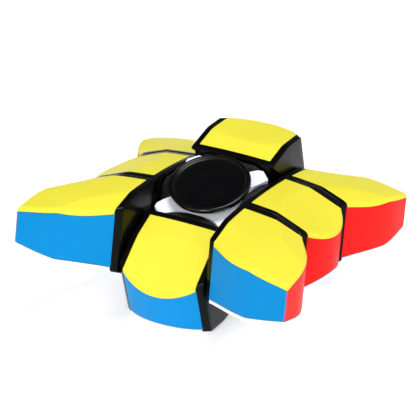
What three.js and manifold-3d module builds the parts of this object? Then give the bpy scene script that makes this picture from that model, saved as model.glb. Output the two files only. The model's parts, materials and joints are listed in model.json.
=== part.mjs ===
// A one-layer 3 x 3 twisting puzzle that also spins on a finger.
//
// A bearing core carries a round finger cap above and below. Four edge pieces are screwed to the core
// through springs, and four corner pieces hook into the edges. The left and the right row of three are
// each turned part of the way round, so the puzzle rests on its front edge and its two back corners.
//
// Millimetres, +Z up, front towards -Y. The origin is at the bottom centre of the bounding box.
// Every piece is drawn with its row lying flat, around the puzzle's centre, and the row is turned after.

import * as THREE from 'three';
import { mergeVertices } from 'three/addons/utils/BufferGeometryUtils.js';
import Module from 'manifold-3d';

const wasm = await Module();
wasm.setup();

// ---------------------------------------------------------------- driving dimensions
const SLICE = 12.6;              // half the width of the middle row
const LEAN = 13;                 // degrees that the middle row leans, front down, as the puzzle rests
const LEFT_TURN = 26.5;          // degrees that the left row is turned from the middle row
const RIGHT_TURN = 24;           // degrees that the right row is turned from the middle row
const GAP = 0.3;                 // clearance between pieces that touch
const CUT_GAP = 0.2;             // a piece stops this far short of each cut between rows

// ---------------------------------------------------------------- outer form
const DOME_TOP = 1.0735 * SLICE;        // height of the domed face over the centre
const DOME_RADIUS = 15 * SLICE;         // radius of that dome
const SCOOP_CENTRE = 4 * SLICE;         // each side has a round scoop, centred outside the puzzle
const SCOOP_RADIUS = 2.4 * SLICE;       // the crease where the scoop starts
const SCOOP_SLOPE = 0.27;               // how fast the scoop falls away inside its crease
const TIP = 3.11 * SLICE;               // a corner's tip, in x and in y
const CORNER_ROUND = 2.14 * SLICE;      // radius of a corner's curved wall
const CORNER_ROUND_X = 2.7 * SLICE;     // where that curve ends and the straight part to the tip starts
const CORNER_SWEEP = THREE.MathUtils.degToRad(34);   // angle of the curve, then straight to the cut
const EDGE_OUT = 2.79 * SLICE;          // the middle of an edge's curved wall
const EDGE_ROUND = 1.39 * SLICE;        // radius of that wall

// ---------------------------------------------------------------- shells and tiles
const TILE = 1.2;                // thickness of a coloured tile
const RIM = 1.9;                 // black rim left bare beside each cut

// ---------------------------------------------------------------- core, bearing and caps
const CORE_HALF = 0.96 * SLICE;
const CORE_TOP = 0.88 * SLICE;
const CORE_CHAMFER = 1.74 * SLICE;      // the core's corners are cut where |x| + |y| reaches this
const COVER = 1.2;                      // thickness of the core's two covers
const BEARING = { bore: 3, inner: 4.15, outer: 5.35, rim: 6.5, half: 2.5, pitch: 4.75, ball: 0.62, balls: 7 };
const CAP_RADIUS = 11;
const CAP_TOP = 14.7;
const CAP_UNDER = 13.2;
const CAP_DISH = 0.5;
const HUB_RADIUS = 3.8;

// ---------------------------------------------------------------- edge mounting, along the edge's axis
const FOOT = [[9.45, 11.7], [11.3, 12.85], [12.5, 14]];   // distance from the centre, radius
const FOOT_SIDE = 9.05;          // the foot is trimmed flat at its sides
const FOOT_TOP = 11.8;           // and above and below
const POST_RADIUS = 2.9;
const POST_END = 14.5;
const BOSS = { radius: 5, end: 16.5 };
const WEB = { start: 16.8, end: 18.6 };
const SPRING = { start: 19.3, end: 24.1, radius: 2.3, wire: 0.35, turns: 4 };
const SCREW = { tip: 7.6, shank: 1.1, head: 2.6, start: 24.8, end: 26.6, slot: 0.5 };
const HEAD_BORE = 3.6;

// ---------------------------------------------------------------- corner hooks
const HOOK = { reach: 1.1, near: 15.6, far: 16.9, half: 2.5 };
const GROOVE = { depth: 1.2, inner: 15.2, outer: 17.5 };

const REACH = 60;                // longer than anything here, for cutting tools

// ---------------------------------------------------------------- solids
function toSolid(geometry) {
  geometry.deleteAttribute('normal');
  geometry.deleteAttribute('uv');
  const merged = mergeVertices(geometry, 1e-4);
  const positions = merged.getAttribute('position').array;
  const corners = merged.getIndex().array;
  const faces = [];
  let volume = 0;
  for (let i = 0; i < corners.length; i += 3) {
    const [a, b, c] = corners.slice(i, i + 3);
    if (a === b || b === c || c === a) continue;
    const [p, q, r] = [a, b, c].map((k) => new THREE.Vector3().fromArray(positions, 3 * k));
    volume += p.dot(q.cross(r));
    faces.push(a, b, c);
  }
  if (volume < 0) faces.reverse();
  return new wasm.Manifold(new wasm.Mesh({
    numProp: 3,
    vertProperties: new Float32Array(positions),
    triVerts: new Uint32Array(faces),
  }));
}

function toMesh(name, solid, material) {
  const { vertProperties, triVerts } = solid.getMesh();
  const geometry = new THREE.BufferGeometry();
  geometry.setAttribute('position', new THREE.BufferAttribute(new Float32Array(vertProperties), 3));
  geometry.setIndex(new THREE.BufferAttribute(new Uint32Array(triVerts), 1));
  const mesh = new THREE.Mesh(geometry, material);
  mesh.name = name;
  return mesh;
}

// An upright prism over a plan outline.
function prism(points, low, high) {
  const shape = new THREE.Shape(points.map(([x, y]) => new THREE.Vector2(x, y)));
  const geometry = new THREE.ExtrudeGeometry(shape, { depth: high - low, bevelEnabled: false });
  return toSolid(geometry.translate(0, 0, low));
}

function box(x0, x1, y0, y1, z0, z1) {
  const geometry = new THREE.BoxGeometry(x1 - x0, y1 - y0, z1 - z0);
  return toSolid(geometry.translate((x0 + x1) / 2, (y0 + y1) / 2, (z0 + z1) / 2));
}

// A turned shape about Z, from [radius, height] points.
function turnedZ(profile, segments) {
  const points = profile.map(([r, z]) => new THREE.Vector2(r, z));
  return toSolid(new THREE.LatheGeometry(points, segments).rotateX(Math.PI / 2));
}

// A turned shape about +Y, from [distance along the axis, radius] points.
function turnedY(profile, segments) {
  const points = profile.map(([distance, r]) => new THREE.Vector2(r, distance));
  return toSolid(new THREE.LatheGeometry(points, segments));
}

function rodY(start, end, radius, segments = 14) {
  return turnedY([[start, 0], [start, radius], [end, radius], [end, 0]], segments);
}

function tubeY(start, end, inner, outer, segments = 16) {
  return turnedY([[start, inner], [start, outer], [end, outer], [end, inner], [start, inner]], segments);
}

function tubeZ(low, high, inner, outer, segments = 20) {
  return turnedZ([[inner, low], [outer, low], [outer, high], [inner, high], [inner, low]], segments);
}

const quarter = (solid, turns) => solid.rotate([0, 0, 90 * turns]);
const mirrored = (solid) => solid.mirror([0, 0, 1]);
const fourTimes = (solid) => [0, 1, 2, 3].map((turns) => quarter(solid, turns));
const union = (solids) => solids.reduce((whole, solid) => whole.add(solid));

// ---------------------------------------------------------------- the domed and scooped form
function domeHeight(radius) {
  return DOME_TOP - radius ** 2 / (2 * DOME_RADIUS);
}

// Everything under the domed face.
function underDome() {
  const rings = 4;
  const profile = [[0, -REACH], [REACH, -REACH]];
  for (let ring = rings; ring >= 0; ring -= 1) {
    const radius = REACH * ring / rings;
    profile.push([radius, domeHeight(radius)]);
  }
  return turnedZ(profile, 24);
}

// The space above a scoop. Its floor is the dome's own curve less a cone, so it leaves the dome along
// a circle in plan. The dome's curve seen from the scoop's centre is a turned shape plus a steady tilt.
function scoop() {
  const floor = (r) => {
    const fall = SCOOP_SLOPE * (SCOOP_RADIUS - r);
    return domeHeight(SCOOP_CENTRE) - r ** 2 / (2 * DOME_RADIUS) - fall;
  };
  const past = 1.1 * SCOOP_RADIUS;
  const rings = [0, 0.5, 0.75, 1.1].map((share) => share * SCOOP_RADIUS);
  const profile = rings.map((r) => [r, floor(r)]);
  profile.push([past, REACH], [0, REACH]);
  const tilt = SCOOP_CENTRE / DOME_RADIUS;
  const tilted = new THREE.Matrix4().set(1, 0, 0, 0, 0, 1, 0, SCOOP_CENTRE, 0, -tilt, 1, 0, 0, 0, 0, 1);
  const points = profile.map(([r, z]) => new THREE.Vector2(r, z));
  const geometry = new THREE.LatheGeometry(points, 30).rotateX(Math.PI / 2);
  return toSolid(geometry.applyMatrix4(tilted));
}

const underFace = fourTimes(scoop()).reduce((solid, cut) => solid.subtract(cut), underDome());

// The form between the two faces, each moved inwards by the given depth.
function form(depth) {
  const upper = underFace.translate([0, 0, -depth]);
  return upper.intersect(mirrored(upper));
}

const fullForm = form(0);
const underTile = form(TILE);
const seatForm = form(TILE + GAP);
const aboveMiddle = box(-REACH, REACH, -REACH, REACH, 0, REACH);

// ---------------------------------------------------------------- plan outlines
// A back edge: between the two cuts, from the core out to its curved wall.
function edgePlan(cutInset, wallInset) {
  const side = SLICE - CUT_GAP - cutInset;
  const near = SLICE + CUT_GAP + cutInset;
  const radius = EDGE_ROUND - wallInset;
  const half = Math.asin(side / radius);
  const steps = 8;
  const points = [[side, near], [-side, near]];
  for (let step = 0; step <= steps; step += 1) {
    const angle = half * (2 * step / steps - 1);
    points.push([radius * Math.sin(angle), EDGE_OUT - EDGE_ROUND + radius * Math.cos(angle)]);
  }
  return points;
}

// A back right corner: its wall runs straight from the cut, then curves, then runs straight to the tip.
function cornerPlan(cutInset, wallInset) {
  const near = SLICE + CUT_GAP + cutInset;
  const tip = TIP - wallInset;
  const radius = CORNER_ROUND - wallInset;
  const centre = [CORNER_ROUND_X, TIP - CORNER_ROUND];
  const steps = 6;
  const curve = [];
  for (let step = 0; step <= steps; step += 1) {
    const angle = CORNER_SWEEP * (1 - step / steps);
    curve.push([centre[0] - radius * Math.sin(angle), centre[1] + radius * Math.cos(angle)]);
  }
  const start = [near, curve[0][1] - (curve[0][0] - near) * Math.tan(CORNER_SWEEP)];
  const wall = [start, ...curve];
  const otherWall = wall.map(([x, y]) => [y, x]).reverse();
  return [[near, near], ...wall, [tip, tip], ...otherWall];
}

// ---------------------------------------------------------------- materials
function plastic(colour, roughness) {
  return new THREE.MeshStandardMaterial({ color: colour, roughness, metalness: 0 });
}

function metal(colour, roughness) {
  return new THREE.MeshStandardMaterial({ color: colour, roughness, metalness: 1 });
}

const yellow = plastic('#f5ee46', 0.45);
const white = plastic('#f3f6fb', 0.4);
const blue = plastic('#159deb', 0.45);
const red = plastic('#ff3f3c', 0.45);
const orange = plastic('#ff7a1a', 0.45);
const green = plastic('#19b352', 0.45);
const black = plastic('#161618', 0.25);
const capBlack = plastic('#101012', 0.2);
const steel = metal('#b9bcc0', 0.3);
const bearingSteel = metal('#c9ccd0', 0.2);
const SIDE_COLOURS = { front: blue, back: green, left: orange, right: red };

// ---------------------------------------------------------------- core
function corePlan() {
  const short = CORE_CHAMFER - CORE_HALF;
  const corner = [[CORE_HALF, -short], [CORE_HALF, short]];
  const points = [];
  for (let turns = 0; turns < 4; turns += 1) {
    const [cos, sin] = [[1, 0], [0, 1], [-1, 0], [0, -1]][turns];
    corner.forEach(([x, y]) => points.push([x * cos - y * sin, x * sin + y * cos]));
  }
  return points;
}

// The round hollow that a foot turns in, at the back.
function footHollow() {
  const outline = FOOT.map(([distance, radius]) => [distance - GAP, radius + GAP]);
  const [end] = outline.slice(-1);
  return turnedY([[outline[0][0], 0], ...outline, [end[0] + 2, end[1] + 1], [end[0] + 2, 0]], 24);
}

const hollows = fourTimes(footHollow());

function coreFrame() {
  const half = CORE_TOP - COVER - GAP;
  const post = rodY(0, POST_END, POST_RADIUS);
  const screwHole = rodY(0, POST_END + 1, SCREW.shank + GAP, 10);
  const block = hollows.reduce((solid, hollow) => solid.subtract(hollow), prism(corePlan(), -half, half));
  const holed = fourTimes(screwHole).reduce((s, hole) => s.subtract(hole), union([block, ...fourTimes(post)]));
  return holed.subtract(turnedZ([[0, -REACH], [BEARING.rim + GAP, -REACH], [BEARING.rim + GAP, REACH],
    [0, REACH]], 20));
}

function coreCover() {
  const low = CORE_TOP - COVER;
  const plate = prism(corePlan(), low, CORE_TOP);
  const spigot = tubeZ(BEARING.half + GAP, low + COVER / 2, BEARING.outer, BEARING.rim, 20);
  const opening = turnedZ([[0, 0], [BEARING.outer, 0], [BEARING.outer, REACH], [0, REACH]], 20);
  const cut = hollows.reduce((solid, hollow) => solid.subtract(hollow), plate);
  return cut.subtract(opening).add(spigot);
}

// ---------------------------------------------------------------- bearing
// A bearing ring with a round track in the side that faces the balls.
function bearingRing(plainRadius, trackSide) {
  const { pitch, ball, half } = BEARING;
  const track = ball + 0.25;
  const depth = Math.abs(trackSide - pitch);
  const halfWidth = Math.sqrt(track ** 2 - depth ** 2);
  const out = Math.sign(trackSide - pitch);
  const profile = [[plainRadius, -half], [plainRadius, half], [trackSide, half], [trackSide, halfWidth]];
  const steps = 2;
  for (let step = 1; step < steps; step += 1) {
    const z = halfWidth * (1 - 2 * step / steps);
    profile.push([pitch + out * Math.sqrt(track ** 2 - z ** 2), z]);
  }
  profile.push([trackSide, -halfWidth], [trackSide, -half], [plainRadius, -half]);
  return turnedZ(profile, 20);
}

// The balls and the crown cage that keeps them apart, as the one set that goes round together.
function bearingBallSet() {
  const { pitch, ball, balls } = BEARING;
  const parts = [tubeZ(ball - 0.2, ball + 0.4, pitch - 0.3, pitch + 0.3, 14)];
  for (let i = 0; i < balls; i += 1) {
    const sphere = toSolid(new THREE.SphereGeometry(ball, 6, 4)).translate([pitch, 0, 0]);
    const finger = box(pitch - 0.25, pitch + 0.25, -0.3, 0.3, -0.4, ball).rotate([0, 0, 180 / balls]);
    parts.push(sphere.add(finger).rotate([0, 0, 360 * i / balls]));
  }
  return union(parts);
}

// ---------------------------------------------------------------- finger cap
function fingerCap() {
  const stem = BEARING.bore - GAP;
  const shoulder = BEARING.half + GAP;
  const round = 0.7;
  const dishEdge = CAP_RADIUS - 1.8;
  return turnedZ([
    [0, GAP / 2],
    [stem, GAP / 2],
    [stem, shoulder],
    [HUB_RADIUS, shoulder],
    [HUB_RADIUS, CAP_UNDER],
    [CAP_RADIUS - round / 2, CAP_UNDER],
    [CAP_RADIUS, CAP_UNDER + round / 2],
    [CAP_RADIUS, CAP_TOP - round],
    [CAP_RADIUS - 0.3 * round, CAP_TOP - 0.3 * round],
    [CAP_RADIUS - round, CAP_TOP],
    [dishEdge + 0.4, CAP_TOP],
    [dishEdge - 0.4, CAP_TOP - CAP_DISH],
    [0, CAP_TOP - CAP_DISH],
  ], 36);
}

// ---------------------------------------------------------------- edge pieces, drawn at the back
function edgeBody() {
  const outside = prism(edgePlan(0, 0), -REACH, REACH).intersect(fullForm);
  const inside = prism(edgePlan(0, TILE + GAP), -REACH, REACH).intersect(seatForm);
  const tiled = prism(edgePlan(RIM, -2), -REACH, REACH);
  const shell = outside.subtract(tiled).add(inside);
  const bores = union([
    rodY(0, WEB.start, BOSS.radius + GAP),
    rodY(0, WEB.end + 1, SCREW.shank + 2 * GAP, 10),
    rodY(WEB.end, REACH, HEAD_BORE),
  ]);
  const side = SLICE - CUT_GAP;
  const groove = quarter(tubeY(side - GROOVE.depth, SLICE + 1, GROOVE.inner, GROOVE.outer, 24), 1);
  const grooved = shell.subtract(groove).subtract(quarter(groove, 2));
  return grooved.subtract(hollows[1]).subtract(hollows[3]).subtract(bores);
}

function edgeFoot() {
  const start = FOOT[0][0];
  const end = FOOT[FOOT.length - 1][0];
  const flange = turnedY([[start, 0], ...FOOT, [end, 0]], 24);
  const trim = box(-FOOT_SIDE, FOOT_SIDE, 0, REACH, -FOOT_TOP, FOOT_TOP);
  const boss = rodY(start + 1, BOSS.end, BOSS.radius);
  return flange.intersect(trim).add(boss).subtract(rodY(0, REACH, POST_RADIUS + GAP));
}

function edgeTopTile() {
  const region = prism(edgePlan(RIM + GAP, 0), -REACH, REACH);
  return region.intersect(fullForm).subtract(underTile).intersect(aboveMiddle);
}

function edgeOuterTile() {
  const region = prism(edgePlan(RIM + GAP, 0), -REACH, REACH).subtract(
    prism(edgePlan(-GAP, TILE), -REACH, REACH));
  const beyond = box(-REACH, REACH, SLICE + 10, REACH, -REACH, REACH);
  return region.intersect(seatForm).intersect(beyond);
}

// ---------------------------------------------------------------- corner pieces, drawn at the back right
function cornerBody() {
  const outside = prism(cornerPlan(0, 0), -REACH, REACH).intersect(fullForm);
  const inside = prism(cornerPlan(0, TILE + GAP), -REACH, REACH).intersect(seatForm);
  const tiled = prism(cornerPlan(RIM, -2), -REACH, REACH);
  const near = SLICE + CUT_GAP;
  const hook = box(near - HOOK.reach, near + 1, HOOK.near, HOOK.far, -HOOK.half, HOOK.half);
  const otherHook = box(HOOK.near, HOOK.far, near - HOOK.reach, near + 1, -HOOK.half, HOOK.half);
  return union([outside.subtract(tiled), inside, hook, otherHook]);
}

function cornerTopTile() {
  const region = prism(cornerPlan(RIM + GAP, 0), -REACH, REACH);
  return region.intersect(fullForm).subtract(underTile).intersect(aboveMiddle);
}

// The tile on the corner's back wall, mitred at the tip.
function cornerWallTile() {
  const region = prism(cornerPlan(RIM + GAP, 0), -REACH, REACH).subtract(
    prism(cornerPlan(-GAP, TILE), -REACH, REACH));
  const mitre = prism([[0, GAP], [REACH, REACH + GAP], [0, REACH + GAP]], -REACH, REACH);
  return region.intersect(seatForm).intersect(mitre);
}

// ---------------------------------------------------------------- fasteners, drawn at the back
function edgeScrew() {
  const shank = rodY(SCREW.tip, SCREW.start + 0.1, SCREW.shank, 10);
  const head = rodY(SCREW.start, SCREW.end, SCREW.head, 14);
  const bottom = SCREW.end - 1;
  const slot = box(-1.6, 1.6, bottom, REACH, -SCREW.slot / 2, SCREW.slot / 2);
  const crossSlot = box(-SCREW.slot / 2, SCREW.slot / 2, bottom, REACH, -1.6, 1.6);
  return shank.add(head).subtract(slot).subtract(crossSlot);
}

class Helix extends THREE.Curve {
  getPoint(t, target = new THREE.Vector3()) {
    const angle = 2 * Math.PI * SPRING.turns * t;
    const along = SPRING.start + (SPRING.end - SPRING.start) * t;
    return target.set(SPRING.radius * Math.cos(angle), along, SPRING.radius * Math.sin(angle));
  }
}

function edgeSpring() {
  const sides = 5;
  const section = [];
  for (let side = 0; side < sides; side += 1) {
    const angle = 2 * Math.PI * side / sides;
    section.push(new THREE.Vector2(SPRING.wire * Math.cos(angle), SPRING.wire * Math.sin(angle)));
  }
  const steps = 8 * SPRING.turns;
  return toSolid(new THREE.ExtrudeGeometry(new THREE.Shape(section), { extrudePath: new Helix(), steps }));
}

// ---------------------------------------------------------------- the rows
function row(turn) {
  const group = new THREE.Group();
  group.rotation.x = THREE.MathUtils.degToRad(turn);
  return group;
}

const middleRow = row(LEAN);
const leftRow = row(LEAN - LEFT_TURN);
const rightRow = row(LEAN - RIGHT_TURN);

middleRow.add(
  toMesh('core_frame', coreFrame(), white),
  toMesh('upper_core_cover', coreCover(), white),
  toMesh('lower_core_cover', mirrored(coreCover()), white),
  toMesh('bearing_outer_ring', bearingRing(BEARING.rim, BEARING.outer), bearingSteel),
  toMesh('bearing_inner_ring', bearingRing(BEARING.bore, BEARING.inner), bearingSteel),
  toMesh('bearing_ball_set', bearingBallSet(), bearingSteel),
  toMesh('upper_finger_cap', fingerCap(), capBlack),
  toMesh('lower_finger_cap', mirrored(fingerCap()), capBlack),
);

// Edges, by quarter turns from the back.
const EDGES = [['back', middleRow], ['left', leftRow], ['front', middleRow], ['right', rightRow]];
EDGES.forEach(([side, group], turns) => {
  const add = (name, solid, material) => {
    group.add(toMesh(`${side}_edge_${name}`, quarter(solid, turns), material));
  };
  add('body', edgeBody(), black);
  add('foot', edgeFoot(), black);
  add('top_tile', edgeTopTile(), yellow);
  add('bottom_tile', mirrored(edgeTopTile()), white);
  add('outer_tile', edgeOuterTile(), SIDE_COLOURS[side]);
  middleRow.add(toMesh(`${side}_edge_screw`, quarter(edgeScrew(), turns), steel));
  middleRow.add(toMesh(`${side}_edge_spring`, quarter(edgeSpring(), turns), steel));
});

// Corners, by quarter turns from the back right. Each lists the sides that its two walls face.
const diagonal = (solid) => solid.mirror([1, -1, 0]);
const CORNERS = [
  ['back_right', rightRow, ['back', 'right']],
  ['back_left', leftRow, ['left', 'back']],
  ['front_left', leftRow, ['front', 'left']],
  ['front_right', rightRow, ['right', 'front']],
];
CORNERS.forEach(([place, group, [firstSide, secondSide]], turns) => {
  const add = (name, solid, material) => {
    group.add(toMesh(`${place}_corner_${name}`, quarter(solid, turns), material));
  };
  add('body', cornerBody(), black);
  add('top_tile', cornerTopTile(), yellow);
  add('bottom_tile', mirrored(cornerTopTile()), white);
  add(`${firstSide}_tile`, cornerWallTile(), SIDE_COLOURS[firstSide]);
  add(`${secondSide}_tile`, diagonal(cornerWallTile()), SIDE_COLOURS[secondSide]);
});

// ---------------------------------------------------------------- the whole puzzle, standing on z = 0
const puzzle = new THREE.Group();
puzzle.add(middleRow, leftRow, rightRow);
puzzle.updateMatrixWorld(true);
const bounds = new THREE.Box3().setFromObject(puzzle, true);
const centre = bounds.getCenter(new THREE.Vector3());
puzzle.position.set(-centre.x, -centre.y, -bounds.min.z);
puzzle.updateMatrixWorld(true);

export default puzzle;
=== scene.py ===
import json
import math

import bmesh
import bpy
from mathutils import Matrix, Vector


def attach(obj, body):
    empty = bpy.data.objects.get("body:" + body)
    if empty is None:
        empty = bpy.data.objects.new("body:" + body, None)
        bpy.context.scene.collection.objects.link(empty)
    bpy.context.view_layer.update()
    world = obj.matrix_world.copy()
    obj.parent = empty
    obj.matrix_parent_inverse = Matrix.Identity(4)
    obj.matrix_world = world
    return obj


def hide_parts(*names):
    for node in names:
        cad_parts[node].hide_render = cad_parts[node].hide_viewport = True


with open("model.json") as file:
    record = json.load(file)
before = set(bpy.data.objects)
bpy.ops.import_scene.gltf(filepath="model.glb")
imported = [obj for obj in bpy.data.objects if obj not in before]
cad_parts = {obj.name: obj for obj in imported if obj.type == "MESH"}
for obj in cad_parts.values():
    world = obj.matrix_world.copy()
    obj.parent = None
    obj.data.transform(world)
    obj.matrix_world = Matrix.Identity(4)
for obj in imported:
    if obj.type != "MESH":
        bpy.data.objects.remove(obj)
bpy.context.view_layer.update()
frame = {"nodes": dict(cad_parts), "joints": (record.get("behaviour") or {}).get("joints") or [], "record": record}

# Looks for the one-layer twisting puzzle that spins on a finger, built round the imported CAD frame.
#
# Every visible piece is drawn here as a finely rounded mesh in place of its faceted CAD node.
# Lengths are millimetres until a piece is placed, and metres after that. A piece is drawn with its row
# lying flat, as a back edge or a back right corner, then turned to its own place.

MM = 0.001

# ---------------------------------------------------------------- places taken from the frame
JOINTS = {joint["name"]: joint for joint in frame["joints"]}
CENTRE = Vector(JOINTS["cap_spin"]["pos_m"])
SPIN_AXIS = Vector(JOINTS["cap_spin"]["axis"])
LEAN = math.atan2(-SPIN_AXIS.y, SPIN_AXIS.z)

# ---------------------------------------------------------------- driving dimensions
# These repeat the CAD's dimensions, but for the finer ones that a comment points out.
SLICE = 12.6                     # half the width of the middle row
LEFT_TURN = math.radians(26.5)   # turn of the left row from the middle row
RIGHT_TURN = math.radians(24)
CUT_GAP = 0.2                    # from a cut plane to the piece beside it

DOME_TOP = 1.0735 * SLICE        # height of the domed face over the middle plane
DOME_RADIUS = 15 * SLICE
SCOOP_CENTRE = 4 * SLICE         # each side has a round scoop, centred outside the puzzle
SCOOP_RADIUS = 2.4 * SLICE       # the crease where the scoop starts
SCOOP_SLOPE = 0.27               # how fast the scoop falls away inside its crease
CREASE_SOFTNESS = 0.35           # half the width of the rounded crease, which is sharp in the CAD

TIP = 3.11 * SLICE               # a corner's tip, in x and in y
CORNER_ROUND = 2.14 * SLICE      # radius of a corner's curved wall
CORNER_ROUND_X = 2.7 * SLICE     # where that curve ends and the straight part to the tip starts
CORNER_SWEEP = math.radians(34)  # angle of the curve, then straight to the cut
EDGE_OUT = 2.79 * SLICE          # the middle of an edge's curved wall
EDGE_ROUND = 1.39 * SLICE        # radius of that wall

TILE = 1.2                       # thickness of a coloured tile
RIM = 1.7                        # black rim beside a top or bottom tile, a little finer than in the CAD
SIDE_RIM = 1.5                   # black rim beside a wall tile, also finer
SEAM = 0.07                      # hairline gap between a tile and its body
SKIN = 0.02                      # how far a wall tile lies inside the piece's outline
MITRE_GAP = 0.01                 # between two wall tiles, where they meet at a tip
TILE_FILLETS = (0.28, 0.95)      # fillet of a top tile at a cut and at a wall
TILE_ROUND = 0.3                 # rounding of its upright corners
BODY_FILLETS = (0.6, 0.95)       # the same two for a black body
BODY_ROUND = 0.55

CORE_HALF = 0.96 * SLICE         # half the width of a core cover
CORE_TOP = 0.88 * SLICE          # height of its upper face over the middle plane
CORE_CHAMFER = 1.74 * SLICE      # its corners are cut where x + y reaches this
COVER = 1.2                      # its thickness
COVER_OPENING = 5.35             # radius of its opening, and of the collar round that
COLLAR_RADIUS = 6.5

CAP_RADIUS = 11.0
CAP_TOP = 14.7                   # heights of its rim and its underside over the middle plane
CAP_UNDER = 13.2
CAP_DISH = 0.4                   # depth of its dish, a little less than in the CAD
CAP_SAG = 0.1                    # how much deeper the dish is in its middle
CAP_ROLL = 0.6                   # radius of the cap's rolled rim
CROWN_INSET = 0.95               # the step from the rim down to the dish starts and ends this far in
DISH_INSET = 1.7
LIP_DROP = 0.04                  # how far its upper end lies under the rim
HUB_RADIUS = 3.8
STEM_RADIUS = 2.7
STEM_END = 0.15
SHOULDER = 2.8                   # height where the stem meets the hub

FOOT = ((9.45, 11.7), (11.3, 12.85), (12.5, 14.0))   # distance out and radius: face, middle and root
FOOT_SIDE = 9.05                 # the foot is trimmed to this half width and half height
FOOT_TOP = 11.8
FOOT_SWELL = 0.14                # how far its flank bulges
FOOT_LIP = 0.5                   # rounding of its face
FOOT_EDGE = 0.4                  # rounding of its root
FOOT_TRIM_ROUND = 1.1
BOSS_RADIUS = 5.0                # round boss that plugs the foot into its body
BOSS_ROOT = 1.0                  # how far behind the foot's face it starts
BOSS_END = 16.5
BOSS_HOLE_END = 16.8
POST_BORE = 3.2                  # hole through the foot for the core's screw post
HOLE_START = 5.0
SCREW_HOLE = 1.7                 # radii of the holes for the screw and for its spring
SCREW_HOLE_END = 20.0
SPRING_HOLE = 3.6
SPRING_SEAT = 18.6
CLEARANCE = 0.3                  # round every foot and boss

HOOK_REACH = 1.1                 # hooks on a corner piece, and the grooves that they run in
HOOK_NEAR = 15.6
HOOK_FAR = 16.9
HOOK_HALF = 2.5
HOOK_ROOT = 2.0                  # how deep a hook is rooted in its body
HOOK_ROUND = 0.25
GROOVE_DEPTH = 1.2
GROOVE_INNER = 15.2
GROOVE_OUTER = 17.5

TALL = 30.0                      # a cutting tool reaches this high, over every piece
BEYOND = 50.0                    # and this far out
CUTTER_REACH = 2.0               # the tools for the tile seats go this far past the wall
CUTTER_ROUND = 0.25
CUTTER_FILLETS = (0.02, 0.02)
CUTTER_DETAIL = 0.3
KEPT_FILLETS = (0.1, 0.1)        # the form inside a body that those tools leave
KEPT_DETAIL = 0.7
LEAST_ROUND = 0.02
SAME_POINT = 1e-5                # vertices nearer than this become one
SHARP = math.radians(32)         # an edge that bends more than this isn't shaded smooth

# ---------------------------------------------------------------- fineness of the meshes
CUT_STEPS = 14                   # along the two cuts beside an edge piece
LONG_CUT_STEPS = 16              # along every other cut
STRAIGHT_STEPS = 6               # along each straight end of a corner's wall
BEND_STEPS = 18                  # round its curved middle
EDGE_WALL_STEPS = 32
CORNER_STEPS = 5                 # round each corner of an outline
FILLET_STEPS = 5
FACE_RINGS = 40                  # from the middle of a face out to its fillet
SEGMENTS = 96                    # round a turned mesh
ROD_SEGMENTS = 48
FOOT_SEGMENTS = 128
CAP_SEGMENTS = 160

SIDE_NAMES = ("back", "left", "front", "right")
SIDE_SLOTS = {"front": "blue_tile", "back": "green_tile", "left": "orange_tile", "right": "red_tile"}


# ---------------------------------------------------------------- materials
def node(tree, kind, **inputs):
    """A new node in tree, with its named inputs set to values or linked to sockets."""
    made = tree.nodes.new(kind)
    for name, value in inputs.items():
        socket = made.inputs[name.replace("_", " ")]
        if isinstance(value, bpy.types.NodeSocket):
            tree.links.new(value, socket)
        else:
            socket.default_value = value
    return made


DRIFT_SCALE = 55.0
DRIFT_RANGE = (0.3, 0.7)
FLOW_SCALE = 240.0
GLOSS_DRIFT = 0.04
GRAIN_SCALE = 2600.0
GRAIN_DEPTH = 0.02 * MM
# bluish tint of the painted glow that lightens the white core's shade
PAINTED_GLOW_COLOUR = (0.80, 0.87, 1.0, 1)


def plastic(name, colour, shade, roughness, bump, index, metallic=0.0, painted_glow=0.0):
    """Moulded plastic or metal: a faint drift of colour, fine surface grain and uneven gloss.
    Its emission is a painted glow: it stands in for light scattered inside a milky white moulding, and lightens
    the shade cast on the white core."""
    material = bpy.data.materials.new(name)
    material.use_nodes = True
    tree = material.node_tree
    shader = tree.nodes["Principled BSDF"]
    place = tree.nodes.new("ShaderNodeTexCoord").outputs["Object"]
    drift = node(tree, "ShaderNodeTexNoise", Vector=place, Scale=DRIFT_SCALE, Detail=3.0)
    grain = node(tree, "ShaderNodeTexNoise", Vector=place, Scale=GRAIN_SCALE, Detail=2.0)
    flow = node(tree, "ShaderNodeTexNoise", Vector=place, Scale=FLOW_SCALE, Detail=4.0)
    ramp = tree.nodes.new("ShaderNodeValToRGB")
    for stop, position, tint in zip(ramp.color_ramp.elements, DRIFT_RANGE, (shade, colour)):
        stop.position = position
        stop.color = (*tint, 1)
    tree.links.new(drift.outputs["Fac"], ramp.inputs["Fac"])
    tree.links.new(ramp.outputs["Color"], shader.inputs["Base Color"])
    gloss = tree.nodes.new("ShaderNodeMapRange")
    gloss.inputs["To Min"].default_value = roughness - GLOSS_DRIFT
    gloss.inputs["To Max"].default_value = roughness + GLOSS_DRIFT
    tree.links.new(flow.outputs["Fac"], gloss.inputs["Value"])
    tree.links.new(gloss.outputs["Result"], shader.inputs["Roughness"])
    relief = node(tree, "ShaderNodeBump", Strength=bump, Distance=GRAIN_DEPTH, Height=grain.outputs["Fac"])
    tree.links.new(relief.outputs["Normal"], shader.inputs["Normal"])
    shader.inputs["Metallic"].default_value = metallic
    shader.inputs["IOR"].default_value = index
    # painted glow: emission that lightens the shade on a surface that is no lamp
    shader.inputs["Emission Color"].default_value = PAINTED_GLOW_COLOUR
    shader.inputs["Emission Strength"].default_value = painted_glow
    return material


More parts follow.
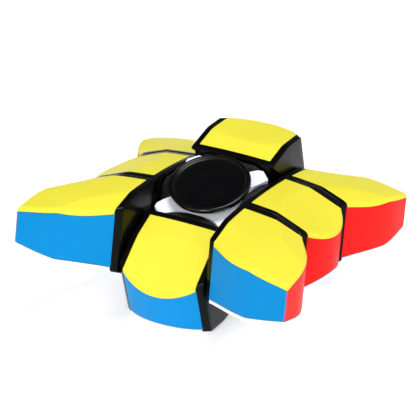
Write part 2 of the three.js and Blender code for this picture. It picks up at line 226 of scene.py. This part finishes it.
# each slot's material: name, colour, darker shade, roughness, bump and index of refraction
MATERIALS = {
    "yellow_tile": plastic("yellow_plastic", (0.885, 0.805, 0.060), (0.85, 0.76, 0.050), 0.42, 0.15, 1.15),
    "white_tile": plastic("white_plastic", (0.87, 0.89, 0.95), (0.84, 0.86, 0.93), 0.40, 0.15, 1.35),
    "blue_tile": plastic("blue_plastic", (0.003, 0.263, 0.645), (0.002, 0.25, 0.615), 0.42, 0.15, 1.15),
    "red_tile": plastic("red_plastic", (0.935, 0.0205, 0.0185), (0.895, 0.0175, 0.0155), 0.42, 0.15, 1.12),
    "orange_tile": plastic("orange_plastic", (0.95, 0.14, 0.010), (0.91, 0.125, 0.008), 0.42, 0.15, 1.15),
    "green_tile": plastic("green_plastic", (0.010, 0.42, 0.075), (0.008, 0.39, 0.068), 0.42, 0.15, 1.15),
    "black_body": plastic("black_plastic", (0.003, 0.003, 0.0033), (0.002, 0.002, 0.0023), 0.22, 0.12, 1.19),
    "black_cap": plastic("cap_plastic", (0.002, 0.002, 0.0025), (0.0015, 0.0015, 0.002), 0.2, 0.12, 1.45),
    # the feet: a rougher copy of the black plastic, whose lighter grey colour is painted sheen on their rounded
    # faces
    "foot": plastic("foot_plastic_painted_sheen", (0.012, 0.0115, 0.011), (0.009, 0.0085, 0.008), 0.42, 0.12, 1.35),
    # the white core's emission is a painted glow, lifting the shadow that the cap casts on it
    "white_core": plastic("core_plastic_painted_glow", (0.92, 0.93, 0.97), (0.89, 0.90, 0.95), 0.38, 0.15, 1.35,
                          painted_glow=0.13),
    "screw_steel": plastic("screw_steel", (0.55, 0.56, 0.58), (0.46, 0.47, 0.49), 0.32, 0.2, 1.5,
                           metallic=1.0),
    "bearing_steel": plastic("bearing_steel", (0.68, 0.69, 0.71), (0.62, 0.63, 0.65), 0.18, 0.1, 1.5,
                             metallic=1.0),
}


# ---------------------------------------------------------------- the domed and scooped face
def face_height(x, y):
    """Height of the domed face over a point of the flat puzzle, with a softened crease at each scoop."""
    height = DOME_TOP - (x * x + y * y) / (2 * DOME_RADIUS)
    for sx, sy in ((0, SCOOP_CENTRE), (SCOOP_CENTRE, 0)):
        inside = SCOOP_RADIUS - math.hypot(abs(x) - sx, abs(y) - sy)
        if inside > CREASE_SOFTNESS:
            height -= SCOOP_SLOPE * inside
        elif inside > -CREASE_SOFTNESS:
            height -= SCOOP_SLOPE * (inside + CREASE_SOFTNESS) ** 2 / (4 * CREASE_SOFTNESS)
    return height


# ---------------------------------------------------------------- plan outlines
def spread(start, end, count):
    """Points from start up to, but not including, end."""
    return [tuple(a + (b - a) * k / count for a, b in zip(start, end)) for k in range(count)]


def straight(start, end, count, normal):
    """A straight side, as a list of (point, outward normal) with both its ends."""
    return [(point, normal) for point in spread(start, end, count) + [end]]


def edge_sides(cut, wall):
    """The four sides of a back edge, each a list of (point, outward normal), going round to the left.
    cut and wall say how far the sides on a cut and on the outer wall are moved in."""
    side = SLICE - CUT_GAP - cut
    near = SLICE + CUT_GAP + cut
    radius = EDGE_ROUND - wall
    half = math.asin(side / radius)
    rise = EDGE_OUT - EDGE_ROUND
    shoulder = rise + radius * math.cos(half)
    curve = []
    for step in range(EDGE_WALL_STEPS + 1):
        angle = half * (1 - 2 * step / EDGE_WALL_STEPS)
        direction = (math.sin(angle), math.cos(angle))
        curve.append(((radius * direction[0], rise + radius * direction[1]), direction))
    return (
        (straight((side, near), (side, shoulder), CUT_STEPS, (1, 0)), "cut"),
        (curve, "wall"),
        (straight((-side, shoulder), (-side, near), CUT_STEPS, (-1, 0)), "cut"),
        (straight((-side, near), (side, near), LONG_CUT_STEPS, (0, -1)), "cut"),
    )


def corner_sides(cut, wall):
    """The four sides of a back right corner, in the same form."""
    near = SLICE + CUT_GAP + cut
    tip = TIP - wall
    radius = CORNER_ROUND - wall
    centre = (CORNER_ROUND_X, TIP - CORNER_ROUND)
    sin, cos = math.sin(CORNER_SWEEP), math.cos(CORNER_SWEEP)
    bend = (centre[0] - radius * sin, centre[1] + radius * cos)
    start = (near, bend[1] - (bend[0] - near) * sin / cos)
    curve = [(p, (0, 1)) for p in spread((tip, tip), (centre[0], tip), STRAIGHT_STEPS)]
    for step in range(BEND_STEPS + 1):
        angle = CORNER_SWEEP * step / BEND_STEPS
        direction = (-math.sin(angle), math.cos(angle))
        point = (centre[0] + radius * direction[0], centre[1] + radius * direction[1])
        curve.append((point, direction))
    curve += straight(bend, start, STRAIGHT_STEPS, (-sin, cos))[1:]
    other = [((p[1], p[0]), (n[1], n[0])) for p, n in reversed(curve)]
    return (
        (straight((near, near), (start[1], near), LONG_CUT_STEPS, (0, -1)), "cut"),
        (other, "wall"),
        (curve, "wall"),
        (straight((near, start[1]), (near, near), LONG_CUT_STEPS, (-1, 0)), "cut"),
    )


SIDES = {"edge": edge_sides, "corner": corner_sides}


def outline(kind, cut, wall, rounding):
    """A closed plan outline with its corners rounded: a list of (x, y, share of wall).
    The share is 0 on a cut side, 1 on an outer wall, and between them round a corner."""
    sides = SIDES[kind](cut + rounding, wall + rounding)
    points = []
    for index, (side, label) in enumerate(sides):
        share = 1.0 if label == "wall" else 0.0
        for (x, y), (nx, ny) in side:
            points.append((x + rounding * nx, y + rounding * ny, share))
        following, next_label = sides[(index + 1) % 4]
        (x, y), normal = side[-1]
        next_normal = following[0][1]
        next_share = 1.0 if next_label == "wall" else 0.0
        for k in range(1, CORNER_STEPS):
            blend = k / CORNER_STEPS
            nx = normal[0] + (next_normal[0] - normal[0]) * blend
            ny = normal[1] + (next_normal[1] - normal[1]) * blend
            length = math.hypot(nx, ny)
            mixed = share + (next_share - share) * blend
            points.append((x + rounding * nx / length, y + rounding * ny / length, mixed))
    return points


# ---------------------------------------------------------------- mesh building
def bridge(mesh, first, second):
    """Joins two rings of the same number of vertices with quads."""
    count = len(first)
    for k in range(count):
        mesh.faces.new((first[k], first[(k + 1) % count], second[(k + 1) % count], second[k]))


def stack(rings, top=None, bottom=None):
    """A closed mesh through a list of rings. It is ended by a pole above and below, or else its last ring
    lies on its first one."""
    mesh = bmesh.new()
    made = [[mesh.verts.new(point) for point in ring] for ring in rings]
    for upper, lower in zip(made, made[1:]):
        bridge(mesh, upper, lower)
    for pole, ring in ((top, made[0]), (bottom, made[-1])):
        if pole is not None:
            centre = mesh.verts.new(pole)
            count = len(ring)
            for k in range(count):
                mesh.faces.new((ring[k], ring[(k + 1) % count], centre))
    bmesh.ops.remove_doubles(mesh, verts=mesh.verts, dist=SAME_POINT)
    bmesh.ops.recalc_face_normals(mesh, faces=mesh.faces)
    return mesh


def slab(kind, cut, wall, rounding, fillets, upper, lower, detail=1.0):
    """A piece with a plan outline, between two height functions of (x, y), its rims filleted.
    fillets gives the fillet radius at a cut and at a wall. A lower face that lies above the middle
    plane is hidden, and has no fillet."""
    at_cut, at_wall = fillets
    outer = outline(kind, cut, wall, rounding)
    inner = outline(kind, cut + at_cut, wall + at_wall, max(LEAST_ROUND, rounding - at_cut))
    centre = [sum(point[i] for point in inner) / len(inner) for i in (0, 1)]
    count = round(FACE_RINGS * detail)

    def disc(height, sign):
        """The rings of a face, from its middle out."""
        rings = []
        for k in range(1, count + 1):
            share = k / count
            ring = []
            for x, y, _ in inner:
                px, py = (centre[i] + ((x, y)[i] - centre[i]) * share for i in (0, 1))
                ring.append((px, py, sign * height(px, py)))
            rings.append(ring)
        return rings

    def rim(height, sign):
        """The rings of a fillet, from the face out and down to the side."""
        rings = []
        for k in range(1, FILLET_STEPS + 1):
            angle = 0.5 * math.pi * k / FILLET_STEPS
            out = math.sin(angle)
            ring = []
            for (x0, y0, share), (x1, y1, _) in zip(inner, outer):
                x, y = x0 + (x1 - x0) * out, y0 + (y1 - y0) * out
                radius = at_cut + (at_wall - at_cut) * share
                ring.append((x, y, sign * (height(x, y) - radius * (1 - math.cos(angle)))))
            rings.append(ring)
        return rings

    def depth(x, y):
        """How far the lower face lies under the middle plane."""
        return -lower(x, y)

    rings = disc(upper, 1) + rim(upper, 1)
    if lower(*centre) > 0:
        rings.append([(x, y, lower(x, y)) for x, y, _ in outer])
        rings += reversed(disc(lower, 1))
    else:
        rings += reversed(rim(depth, -1))
        rings += reversed(disc(depth, -1))
    return stack(rings, (*centre, upper(*centre)), (*centre, lower(*centre)))


def circle(radius, height, segments):
    """A ring of points round the Z axis."""
    angles = [2 * math.pi * k / segments for k in range(segments)]
    return [(radius * math.cos(angle), radius * math.sin(angle), height) for angle in angles]


def turned(profile, segments=SEGMENTS):
    """A turned mesh round Z from (radius, height) points that start and end on the axis."""
    rings = [circle(radius, height, segments) for radius, height in profile[1:-1]]
    return stack(rings, (0, 0, profile[0][1]), (0, 0, profile[-1][1]))


def rod(radius, low, high):
    """A round rod along Z."""
    return turned(((0, low), (radius, low), (radius, high), (0, high)), ROD_SEGMENTS)


def tube(inner, outer, low, high):
    """A round tube along Z."""
    profile = ((inner, low), (outer, low), (outer, high), (inner, high), (inner, low))
    return stack([circle(radius, height, SEGMENTS) for radius, height in profile])


def laid_back(mesh):
    """Turns a mesh that stands along Z so that it points back along Y."""
    bmesh.ops.rotate(mesh, verts=mesh.verts, matrix=Matrix.Rotation(-math.pi / 2, 3, "X"))
    return mesh


def block(low, high, rounding):
    """A box with rounded edges."""
    mesh = bmesh.new()
    bmesh.ops.create_cube(mesh, size=1.0)
    for vertex in mesh.verts:
        vertex.co = Vector([low[i] + (vertex.co[i] + 0.5) * (high[i] - low[i]) for i in range(3)])
    bmesh.ops.bevel(mesh, geom=mesh.edges, offset=rounding, segments=3, affect="EDGES", profile=0.5)
    return mesh


def copied(mesh, matrix):
    """A copy of a mesh, moved by a matrix, with its faces still pointing out."""
    other = mesh.copy()
    bmesh.ops.transform(other, matrix=matrix, verts=other.verts)
    if matrix.determinant() < 0:
        bmesh.ops.reverse_faces(other, faces=other.faces)
    return other


def cut_with(mesh, tools, operation="DIFFERENCE"):
    """Joins or cuts a closed mesh with other closed meshes."""
    made = []
    for source in [mesh, *tools]:
        data = bpy.data.meshes.new("solid")
        source.to_mesh(data)
        thing = bpy.data.objects.new("solid", data)
        bpy.context.scene.collection.objects.link(thing)
        made.append(thing)
    for tool in made[1:]:
        modifier = made[0].modifiers.new("cut", "BOOLEAN")
        modifier.operation = operation
        modifier.solver = "MANIFOLD"
        modifier.object = tool
    graph = bpy.context.evaluated_depsgraph_get()
    result = bmesh.new()
    result.from_object(made[0], graph)
    for thing in made:
        data = thing.data
        bpy.data.objects.remove(thing)
        bpy.data.meshes.remove(data)
    return result


def quarter(turns):
    """Quarter turns round Z, to the left."""
    return Matrix.Rotation(turns * math.pi / 2, 4, "Z")


FLIP = Matrix.Diagonal((1, 1, -1, 1))                                     # upside down
SWAP = Matrix(((0, 1, 0, 0), (1, 0, 0, 0), (0, 0, 1, 0), (0, 0, 0, 1)))   # across a corner's diagonal
ROW_TURNS = {"middle": LEAN, "left": LEAN - LEFT_TURN, "right": LEAN - RIGHT_TURN}


def place(mesh, name, row, slot_name, body, nodes, local=Matrix.Identity(4), look=None):
    """Turns a mesh into a piece: moved to its place in its row, in metres, riding on its body.
    look names another material than its slot's."""
    turn = Matrix.Rotation(ROW_TURNS[row], 4, "X")
    moved = copied(mesh, Matrix.Translation(CENTRE) @ turn @ Matrix.Scale(MM, 4) @ local)
    data = bpy.data.meshes.new(name)
    moved.to_mesh(data)
    moved.free()
    data.shade_smooth()
    data.set_sharp_from_angle(angle=SHARP)
    piece = bpy.data.objects.new(name, data)
    bpy.context.scene.collection.objects.link(piece)
    data.materials.append(MATERIALS[look or slot_name])
    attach(piece, body)
    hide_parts(*nodes)
    return piece


# ---------------------------------------------------------------- tiles
def top_tile(kind):
    """The domed and scooped tile on top of a piece."""
    def lower(x, y):
        return face_height(x, y) - TILE

    return slab(kind, RIM + SEAM, 0.0, TILE_ROUND, TILE_FILLETS, face_height, lower)


def wall_curve(kind):
    """Points and outward normals along the wall that a wall tile covers."""
    wall_index = {"edge": 1, "corner": 2}[kind]
    curve, _ = SIDES[kind](SIDE_RIM + SEAM, 0.0)[wall_index]
    return curve


def along(curve):
    """The length of a curve, and a function that gives its point and normal at a distance along it."""
    lengths = [0.0]
    for (p, _), (q, _) in zip(curve, curve[1:]):
        lengths.append(lengths[-1] + math.hypot(q[0] - p[0], q[1] - p[1]))

    def sample(distance):
        distance = min(max(distance, 0.0), lengths[-1])
        k = max(i for i, length in enumerate(lengths[:-1]) if length <= distance)
        share = (distance - lengths[k]) / (lengths[k + 1] - lengths[k])
        (p, n), (q, m) = curve[k], curve[k + 1]
        point = [p[i] + (q[i] - p[i]) * share for i in (0, 1)]
        normal = Vector((n[0] + (m[0] - n[0]) * share, n[1] + (m[1] - n[1]) * share)).normalized()
        return point, normal

    return lengths[-1], sample


WALL_EDGE = 0.16                            # rounding of a wall tile's border
BORDER = (0, 0.12, 0.35, 0.65, 1.0)         # where its columns and rows lie, as shares of that
TILE_COLUMNS = 48
TILE_ROWS = 14


def wall_tile(kind):
    """A coloured tile on a wall: a strip that follows the wall between the upper and lower tiles.
    On a corner it is mitred at the tip, where it meets the tile of the other wall."""
    total, sample = along(wall_curve(kind))
    border = [WALL_EDGE * share for share in BORDER]
    inside = total - 2 * WALL_EDGE
    across = border + [WALL_EDGE + inside * k / TILE_COLUMNS for k in range(1, TILE_COLUMNS)]
    across += [total - distance for distance in reversed(border)]
    levels = [(0, -1, distance) for distance in border]
    levels += [(2 * k / TILE_ROWS - 1, 0, WALL_EDGE) for k in range(1, TILE_ROWS)]
    levels += [(0, 1, distance) for distance in reversed(border)]
    mesh = bmesh.new()
    outer = []
    inner = []
    for distance in across:
        point, normal = sample(distance)
        back = sample(max(distance, TILE + MITRE_GAP))[0] if kind == "corner" else point
        half = face_height(*point) - TILE - SEAM - SKIN
        outer_column = []
        inner_column = []
        for share, end, edge in levels:
            z = share * (half - WALL_EDGE) + end * (half - edge)
            near = min(edge, distance, total - distance)
            sunk = WALL_EDGE - math.sqrt(max(0.0, WALL_EDGE ** 2 - (WALL_EDGE - near) ** 2))
            x, y = (point[i] - normal[i] * (sunk + SKIN) for i in (0, 1))
            outer_column.append(mesh.verts.new((x, y, z)))
            x, y = (back[i] - normal[i] * TILE for i in (0, 1))
            inner_column.append(mesh.verts.new((x, y, z)))
        outer.append(outer_column)
        inner.append(inner_column)
    high = len(levels) - 1
    wide = len(across) - 1
    for i in range(wide):
        for j in range(high):
            mesh.faces.new((outer[i][j], outer[i + 1][j], outer[i + 1][j + 1], outer[i][j + 1]))
            mesh.faces.new((inner[i][j], inner[i][j + 1], inner[i + 1][j + 1], inner[i + 1][j]))
        for j in (0, high):
            mesh.faces.new((outer[i][j], inner[i][j], inner[i + 1][j], outer[i + 1][j]))
    for j in range(high):
        for i in (0, wide):
            mesh.faces.new((outer[i][j], outer[i][j + 1], inner[i][j + 1], inner[i][j]))
    bmesh.ops.recalc_face_normals(mesh, faces=mesh.faces)
    return mesh


# ---------------------------------------------------------------- black bodies and feet
def cutter(kind, rim, upper):
    """A tool inside a rim on the cut sides, past the outer wall, and as high and as deep as upper."""
    def lower(x, y):
        return -upper(x, y)

    return slab(kind, rim, -CUTTER_REACH, CUTTER_ROUND, CUTTER_FILLETS, upper, lower, CUTTER_DETAIL)


def body_form(kind):
    """The black moulding: the full rounded form, with its seats for the tiles cut into it."""
    seat = TILE + SEAM

    def beneath(x, y):
        return -face_height(x, y)

    def seat_height(x, y):
        return face_height(x, y) - seat

    def seat_depth(x, y):
        return -seat_height(x, y)

    def wall_seat_height(x, y):
        return face_height(x, y) - TILE

    def all_through(x, y):
        return TALL

    whole = slab(kind, 0.0, 0.0, BODY_ROUND, BODY_FILLETS, face_height, beneath)
    kept = slab(kind, RIM / 2, seat, TILE_ROUND, KEPT_FILLETS, seat_height, seat_depth, KEPT_DETAIL)
    face_seats = cut_with(cutter(kind, RIM, all_through), [kept])
    wall_seat = cut_with(cutter(kind, SIDE_RIM, wall_seat_height), [kept])
    return cut_with(whole, [face_seats, wall_seat])


def foot_hollow():
    """The round space that a foot needs, at the back."""
    points = [(radius + CLEARANCE, distance - CLEARANCE) for distance, radius in FOOT]
    root, radius = FOOT[-1]
    end = (radius + 1.0 + CLEARANCE, root + 2.0)
    return laid_back(turned([(0, points[0][1]), *points, end, (0, end[1])]))


def edge_body():
    """The body of an edge piece, with its two round grooves, its screw hole and room for the feet."""
    side = SLICE - CUT_GAP
    groove = laid_back(tube(GROOVE_INNER, GROOVE_OUTER, side - GROOVE_DEPTH, SLICE + 1))
    hollow = foot_hollow()
    tools = [copied(tool, quarter(turns)) for tool in (groove, hollow) for turns in (1, 3)]
    for radius, low, high in (
        (BOSS_RADIUS + CLEARANCE, HOLE_START, BOSS_HOLE_END),
        (SCREW_HOLE, HOLE_START, SCREW_HOLE_END),
        (SPRING_HOLE, SPRING_SEAT, BEYOND),
    ):
        tools.append(laid_back(rod(radius, low, high)))
    return cut_with(body_form("edge"), tools)


def corner_body():
    """The body of a corner piece, with a hook on each of its two inner sides."""
    near = SLICE + CUT_GAP
    low = (near - HOOK_REACH, HOOK_NEAR, -HOOK_HALF)
    high = (near + HOOK_ROOT, HOOK_FAR, HOOK_HALF)
    hook = block(low, high, HOOK_ROUND)
    return cut_with(body_form("corner"), [hook, copied(hook, SWAP)], "UNION")


def edge_foot():
    """The rounded foot that an edge piece turns on, trimmed flat above, below and at its sides."""
    (face, face_radius), _, (root, root_radius) = FOOT
    start = face + FOOT_LIP
    end = root - FOOT_EDGE
    profile = [(0, face), (face_radius - 0.6, face), (face_radius - 0.2, face + 0.15), (face_radius, start)]
    steps = 12
    for k in range(1, steps + 1):
        share = k / steps
        swell = FOOT_SWELL * math.sin(math.pi * share)
        radius = face_radius + (root_radius - face_radius) * share + swell
        profile.append((radius, start + (end - start) * share))
    profile += [(root_radius - 0.1, root - 0.15), (root_radius - FOOT_EDGE, root), (0, root)]
    flange = laid_back(turned(profile, FOOT_SEGMENTS))
    trim = block((-FOOT_SIDE, face, -FOOT_TOP), (FOOT_SIDE, root + 2, FOOT_TOP), FOOT_TRIM_ROUND)
    shaped = cut_with(flange, [trim], "INTERSECT")
    bossed = cut_with(shaped, [laid_back(rod(BOSS_RADIUS, face + BOSS_ROOT, BOSS_END))], "UNION")
    return cut_with(bossed, [laid_back(rod(POST_BORE, 0.0, SCREW_HOLE_END))])


# ---------------------------------------------------------------- core and caps
def core_cover():
    """The white plate over the core, hollowed where the feet turn."""
    short_side = CORE_CHAMFER - CORE_HALF
    plan = []
    for turns in range(4):
        turn = quarter(turns)
        for corner in ((CORE_HALF, -short_side), (CORE_HALF, short_side)):
            plan.append((turn @ Vector((*corner, 0))).to_2d())
    low = CORE_TOP - COVER
    rings = []
    for inset, drop in ((0.45, 0), (0.2, 0.06), (0.06, 0.2), (0, 0.45), (0, COVER)):
        scale = 1 - inset / CORE_HALF
        rings.append([(p.x * scale, p.y * scale, CORE_TOP - drop) for p in plan])
    plate = stack(rings, (0, 0, CORE_TOP), (0, 0, low))
    hollow = foot_hollow()
    tools = [copied(hollow, quarter(turns)) for turns in range(4)]
    tools.append(rod(COVER_OPENING, 0.0, TALL))
    plate = cut_with(plate, tools)
    collar = tube(COVER_OPENING, COLLAR_RADIUS, SHOULDER, low + COVER / 2)
    return cut_with(plate, [collar], "UNION")


def finger_cap():
    """A round cap with a full rolled rim and a shallow dish, on its hub and stem."""
    crown = CAP_RADIUS - CROWN_INSET
    dish = CAP_RADIUS - DISH_INSET
    steps = 8
    roll_steps = 12
    profile = [(0, CAP_TOP - CAP_DISH - CAP_SAG)]
    for k in range(1, steps + 1):
        share = k / steps
        profile.append((dish * share, CAP_TOP - CAP_DISH - CAP_SAG * (1 - share ** 2)))
    for k in range(1, steps + 1):
        share = k / steps
        blend = 0.5 - 0.5 * math.cos(math.pi * share)
        profile.append((dish + (crown - dish) * share, CAP_TOP - CAP_DISH * (1 - blend) - LIP_DROP * blend))
    for k in range(roll_steps + 1):
        angle = math.radians(80 * (1 - k / roll_steps))
        out, up = CAP_ROLL * math.cos(angle), CAP_ROLL * math.sin(angle)
        profile.append((CAP_RADIUS - CAP_ROLL + out, CAP_TOP - CAP_ROLL + up))
    profile += [
        (CAP_RADIUS - 0.02, CAP_UNDER + 0.45),
        (CAP_RADIUS - 0.15, CAP_UNDER + 0.15),
        (CAP_RADIUS - 0.45, CAP_UNDER),
        (HUB_RADIUS + 0.5, CAP_UNDER),
        (HUB_RADIUS, CAP_UNDER - 0.5),
        (HUB_RADIUS, SHOULDER),
        (STEM_RADIUS, SHOULDER),
        (STEM_RADIUS, STEM_END + 0.25),
        (STEM_RADIUS - 0.25, STEM_END),
        (0, STEM_END),
    ]
    return turned(profile, CAP_SEGMENTS)


# ---------------------------------------------------------------- placing every piece
def build_centre():
    """The two finger caps and the two core covers."""
    cap = finger_cap()
    place(cap, "upper_cap", "middle", "black_cap", "finger_caps", ["upper_finger_cap"])
    place(cap, "lower_cap", "middle", "black_cap", "finger_caps", ["lower_finger_cap"], FLIP)
    cover = core_cover()
    place(cover, "upper_cover", "middle", "white_core", "core", ["upper_core_cover"])
    place(cover, "lower_cover", "middle", "white_core", "core", ["lower_core_cover"], FLIP)


# each edge's row and the body that it rides on
EDGE_ROWS = {"back": ("middle", "back_edge"), "left": ("left", "left_row"),
             "front": ("middle", "front_edge"), "right": ("right", "right_row")}


def build_edges():
    """The five visible pieces of each of the four edges."""
    body, foot, tile, wall = edge_body(), edge_foot(), top_tile("edge"), wall_tile("edge")
    for turns, side in enumerate(SIDE_NAMES):
        row, rides = EDGE_ROWS[side]
        turn = quarter(turns)
        stem = side + "_edge"
        place(body, stem + "_shell", row, "black_body", rides, [stem + "_body"], turn)
        # the foot wears the greyer copy of the black plastic, whose colour is painted sheen
        place(foot, stem + "_rounded_foot", row, "black_body", rides, [stem + "_foot"], turn, "foot")
        place(tile, stem + "_yellow_tile", row, "yellow_tile", rides, [stem + "_top_tile"], turn)
        place(tile, stem + "_white_tile", row, "white_tile", rides, [stem + "_bottom_tile"], turn @ FLIP)
        place(wall, stem + "_side_tile", row, SIDE_SLOTS[side], rides, [stem + "_outer_tile"], turn)


CORNERS = (                      # name, row, and the sides of its two wall tiles
    ("back_right", "right", ("back", "right")),
    ("back_left", "left", ("left", "back")),
    ("front_left", "left", ("front", "left")),
    ("front_right", "right", ("right", "front")),
)


def build_corners():
    """The five pieces of each of the four corners."""
    body, tile, wall = corner_body(), top_tile("corner"), wall_tile("corner")
    for turns, (corner, row, (first, second)) in enumerate(CORNERS):
        turn = quarter(turns)
        rides = row + "_row"
        stem = corner + "_corner"
        place(body, stem + "_shell", row, "black_body", rides, [stem + "_body"], turn)
        place(tile, stem + "_yellow_tile", row, "yellow_tile", rides, [stem + "_top_tile"], turn)
        place(tile, stem + "_white_tile", row, "white_tile", rides, [stem + "_bottom_tile"], turn @ FLIP)
        for side, swap in ((first, Matrix.Identity(4)), (second, SWAP)):
            place(wall, stem + "_" + side + "_side_tile", row, SIDE_SLOTS[side], rides,
                  [stem + "_" + side + "_tile"], turn @ swap)


def dress_frame():
    """Gives every CAD node the material of its slot. Those that nothing replaces lie deep inside."""
    slots = {part["node"]: part["material_slot"] for part in frame["record"]["subparts"]}
    for name, thing in frame["nodes"].items():
        thing.data.materials.clear()
        thing.data.materials.append(MATERIALS[slots[name]])


# ---------------------------------------------------------------- stage, light and camera
FLOOR_WIDTH = 8.0
FLOOR_GAP = 0.05 * MM
FLOOR_GLOW = 0.38                # keeps the object's shadows faint


def build_stage():
    """A plain white floor just under the object."""
    material = bpy.data.materials.new("floor_white")
    material.use_nodes = True
    shader = material.node_tree.nodes["Principled BSDF"]
    shader.inputs["Base Color"].default_value = (0.9, 0.9, 0.9, 1)
    shader.inputs["Roughness"].default_value = 0.8
    shader.inputs["Emission Color"].default_value = (1, 1, 1, 1)
    shader.inputs["Emission Strength"].default_value = FLOOR_GLOW
    bpy.ops.mesh.primitive_plane_add(size=FLOOR_WIDTH, location=(0, 0, -FLOOR_GAP))
    floor = bpy.context.object
    floor.name = "floor"
    floor.data.materials.append(material)


def area_light(name, location, size, power):
    """A round lamp that points at the puzzle's centre."""
    data = bpy.data.lights.new(name, "AREA")
    data.shape = "DISK"
    data.size = size
    data.energy = power
    light = bpy.data.objects.new(name, data)
    bpy.context.scene.collection.objects.link(light)
    light.location = location
    light.rotation_euler = (CENTRE - Vector(location)).to_track_quat("-Z", "Y").to_euler()


BRIGHT_SIDE = (0.4, -0.55, -0.73)   # the tent grows brighter in this direction
TENT_LEVEL = 1.25
LAMPS = (                        # name, place, width in metres, power in watts
    ("top", (0.02, 0.10, 0.79), 0.35, 3.95),
    ("front", (0.05, -0.70, 0.40), 0.2, 1.75),
    ("side", (0.69, -0.10, 0.415), 0.5, 0.6),
)


def build_light():
    """A light tent that is bright low down in front and at the right and dark above, with soft lamps."""
    world = bpy.data.worlds.new("studio")
    bpy.context.scene.world = world
    world.use_nodes = True
    tree = world.node_tree
    background = tree.nodes["Background"]
    direction = tree.nodes.new("ShaderNodeTexCoord").outputs["Generated"]
    towards = tree.nodes.new("ShaderNodeVectorMath")
    towards.operation = "DOT_PRODUCT"
    towards.inputs[1].default_value = BRIGHT_SIDE
    tree.links.new(direction, towards.inputs[0])
    level = tree.nodes.new("ShaderNodeMapRange")
    level.inputs["From Min"].default_value = -1.0
    level.inputs["To Max"].default_value = TENT_LEVEL
    tree.links.new(towards.outputs["Value"], level.inputs["Value"])
    tree.links.new(level.outputs["Result"], background.inputs["Strength"])
    background.inputs["Color"].default_value = (1, 1, 1, 1)
    for lamp in LAMPS:
        area_light(*lamp)
    bpy.context.scene.view_settings.view_transform = "Standard"


def build_camera():
    """A long lens from in front, a little to the right and above, aimed just beside the centre."""
    azimuth, elevation, roll = math.radians(27.5), math.radians(31.7), math.radians(-0.75)
    distance = 612.4 * MM
    aim_left = 1.56 * MM
    aim_above = 3.15 * MM
    back = Vector((math.sin(azimuth) * math.cos(elevation), -math.cos(azimuth) * math.cos(elevation),
                   math.sin(elevation)))
    data = bpy.data.cameras.new("camera")
    data.sensor_width = 36
    data.lens = 195
    camera = bpy.data.objects.new("camera", data)
    bpy.context.scene.collection.objects.link(camera)
    flat = Vector((0, 0, 1)).cross(back).normalized()
    upright = back.cross(flat)
    right = flat * math.cos(roll) + upright * math.sin(roll)
    up = upright * math.cos(roll) - flat * math.sin(roll)
    spot = CENTRE + back * distance - right * aim_left + up * aim_above
    camera.matrix_world = Matrix((
        (right.x, up.x, back.x, spot.x),
        (right.y, up.y, back.y, spot.y),
        (right.z, up.z, back.z, spot.z),
        (0, 0, 0, 1),
    ))
    bpy.context.scene.camera = camera


build_camera()
build_stage()
build_light()
dress_frame()
build_centre()
build_edges()
build_corners()
